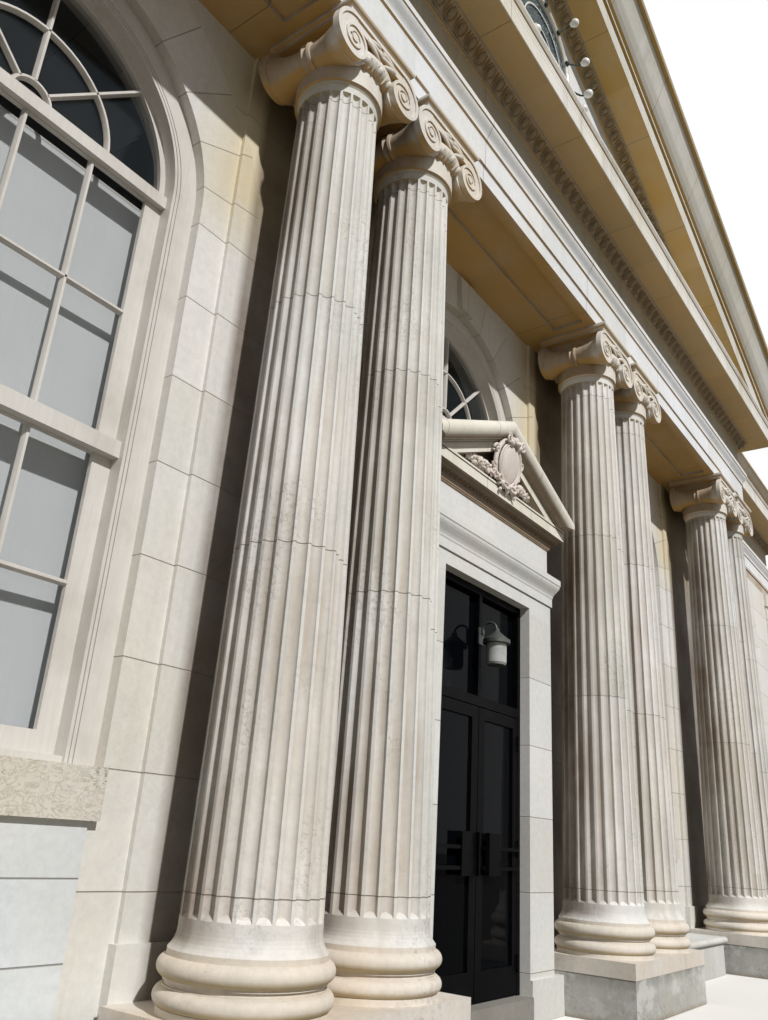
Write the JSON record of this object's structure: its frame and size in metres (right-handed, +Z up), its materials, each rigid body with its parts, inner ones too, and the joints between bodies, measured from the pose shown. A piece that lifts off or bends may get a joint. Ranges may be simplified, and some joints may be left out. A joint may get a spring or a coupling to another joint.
{
  "type": "town hall building",
  "caption": "Town hall front with a pedimented portico of coupled fluted Ionic columns, arched windows and a pedimented double door that opens.",
  "frame": {"origin": "bottom centre of the bounding box, on the ground the walls stand on", "axes": "+X along the front towards the viewer's right, +Y into the building, +Z up; the entrance faces -Y"},
  "size_m": [26.8, 17.15, 11.2135],
  "materials": {
    "marble": "honed, weathered",
    "entablature_stone": "honed, weathered",
    "grey_stone": "rough, weathered",
    "sill_stone": "rough, weathered",
    "floor_stone": "matt",
    "painted_timber": "gloss paint",
    "window_glass": "clear",
    "door_glass": "clear",
    "black_metal": "satin",
    "roof_slate": "matt",
    "roof_sheet": "matt",
    "lantern_metal": "satin"
  },
  "bodies": {
    "building": {"plinth_blocks": "grey_stone", "plinth_slabs": "marble", "column_bases": "marble", "column_shafts": "marble", "column_capitals": "marble", "wall_pilasters": "marble", "corner_antae": "marble", "front_wall_left": "marble", "front_wall_right": "marble", "front_wall_arch": "marble", "side_wall_left": "marble", "side_wall_right": "marble", "back_wall": "marble", "floor_slab": "floor_stone", "window_sills": "sill_stone", "window_aprons": "marble", "front_window_frames": "painted_timber", "side_window_frames": "painted_timber", "back_window_frames": "painted_timber", "window_glass": "window_glass", "keystones": "marble", "portal_jambs": "marble", "portal_head": "marble", "portal_pediment": "marble", "door_step": "grey_stone", "door_frame": "black_metal", "transom_glass": "door_glass", "portico_architrave": "entablature_stone", "portico_frieze": "entablature_stone", "portico_cornice": "entablature_stone", "tympanum": "entablature_stone", "raking_cornice": "entablature_stone", "eaves_crowns": "entablature_stone", "wing_architrave": "entablature_stone", "wing_frieze": "entablature_stone", "wing_cornice": "entablature_stone", "main_roof": "roof_slate", "flat_roof": "roof_sheet", "roof_kerbs": "entablature_stone", "back_gable": "entablature_stone", "bench_blocks": "grey_stone", "lantern": "lantern_metal"},
    "left_leaf": {"left_leaf": "black_metal", "left_leaf_glass": "door_glass"},
    "right_leaf": {"right_leaf": "black_metal", "right_leaf_glass": "door_glass"}
  },
  "joints": [
    {"name": "left_leaf_hinge", "type": "hinge", "parent": "building", "child": "left_leaf", "pos_m": [-0.656, -7.283, 0.188], "axis": [0, 0, -1], "range_deg": [0, 90]},
    {"name": "right_leaf_hinge", "type": "hinge", "parent": "building", "child": "right_leaf", "pos_m": [0.656, -7.283, 0.188], "axis": [0, 0, 1], "range_deg": [0, 90]}
  ]
}
